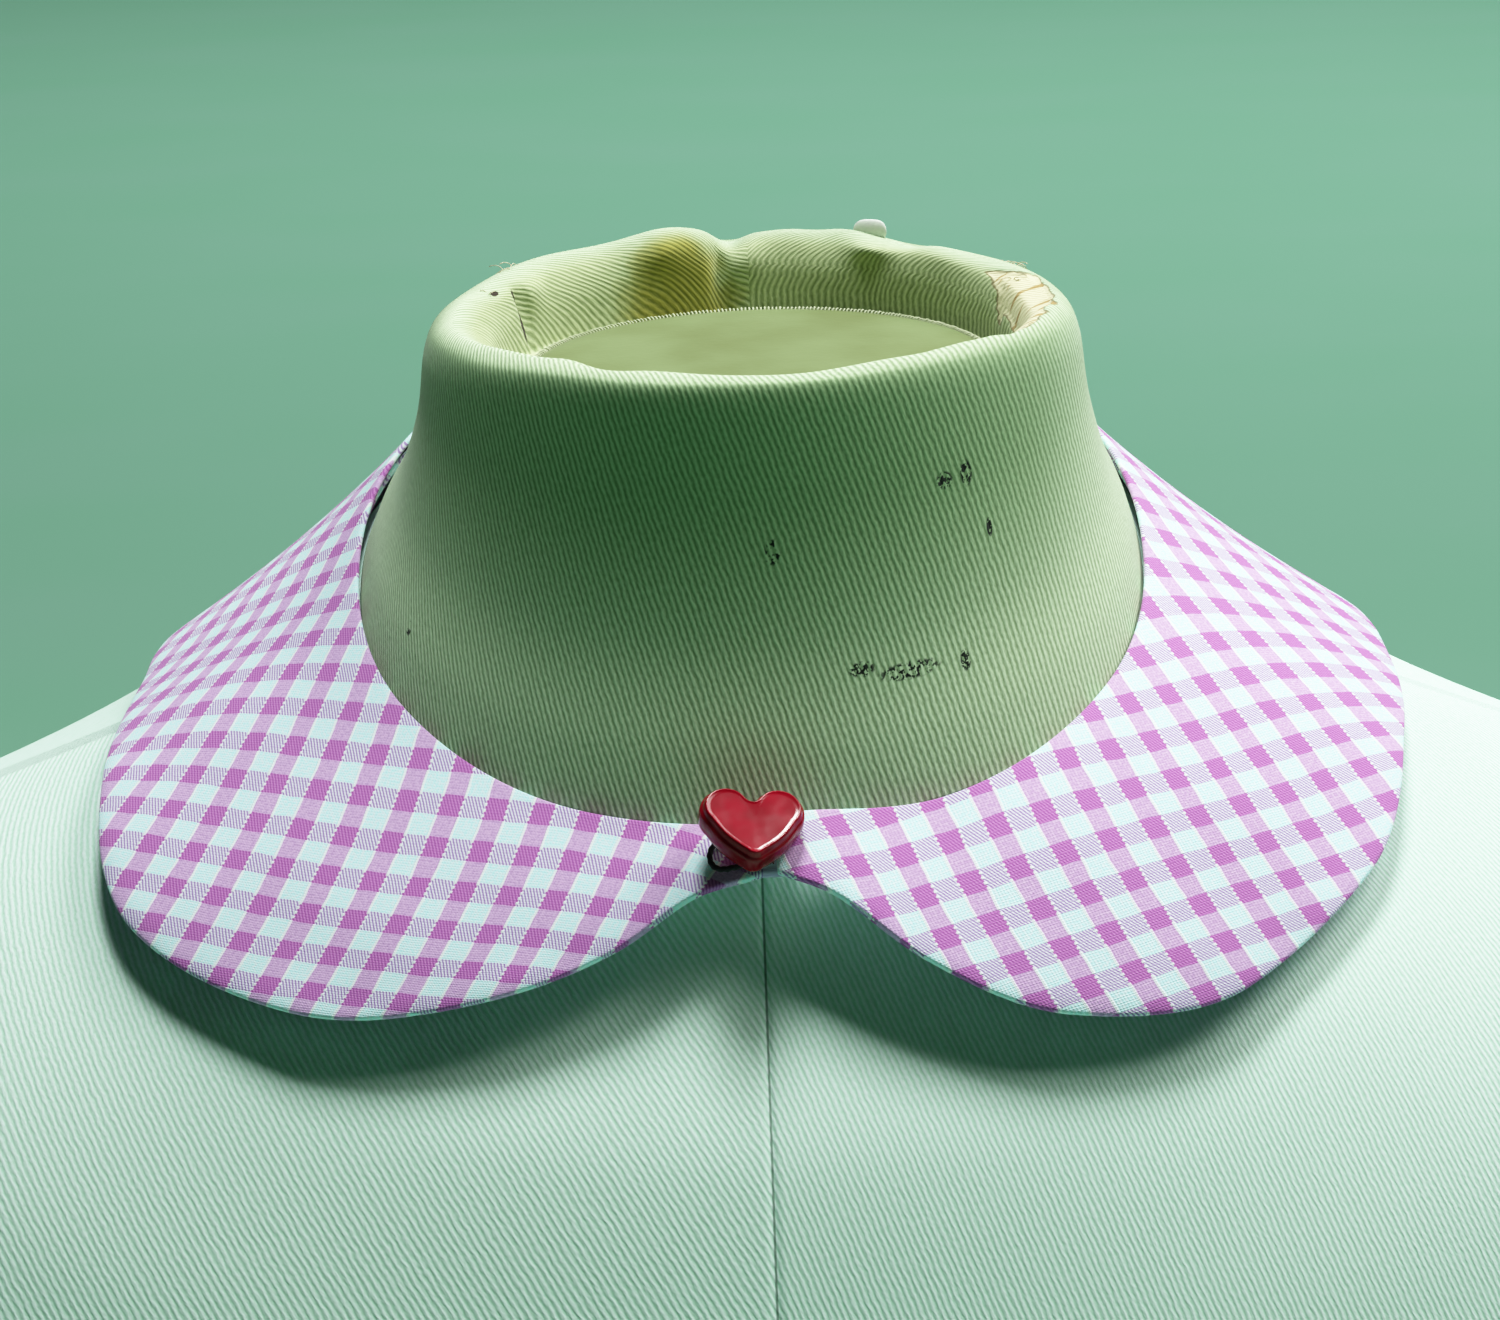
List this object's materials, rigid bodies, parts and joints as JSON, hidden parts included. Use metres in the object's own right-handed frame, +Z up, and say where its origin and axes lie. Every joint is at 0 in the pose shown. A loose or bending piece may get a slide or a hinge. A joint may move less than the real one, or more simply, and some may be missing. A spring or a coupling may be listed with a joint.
{
  "type": "detachable shirt collar on a limbless tabletop dress form",
  "caption": "Detachable gingham Peter Pan collar with a heart button and cord loop, laid round the neck of a limbless tabletop dress form.",
  "frame": {"origin": "middle of the dress form's flat base, on the surface it stands on", "axes": "+Z up the form, -Y towards the front of the form, +X towards the right in the picture"},
  "size_m": [0.364, 0.238, 0.5912],
  "materials": {
    "gingham_cotton": "woven pink and white eighth-inch check, matt",
    "red_plastic": "polished moulded plastic",
    "dark_cord": "thin elastic cord",
    "twill_canvas": "cream twill canvas, worn at the rim",
    "cap_cloth": "plain cream cotton with an overlocked edge"
  },
  "bodies": {
    "root": {"upper_collar": "gingham_cotton", "under_collar": "gingham_cotton", "heart_button": "red_plastic", "button_loop": "dark_cord", "form_neck": "twill_canvas", "form_torso": "twill_canvas", "neck_cap": "cap_cloth"}
  },
  "joints": []
}
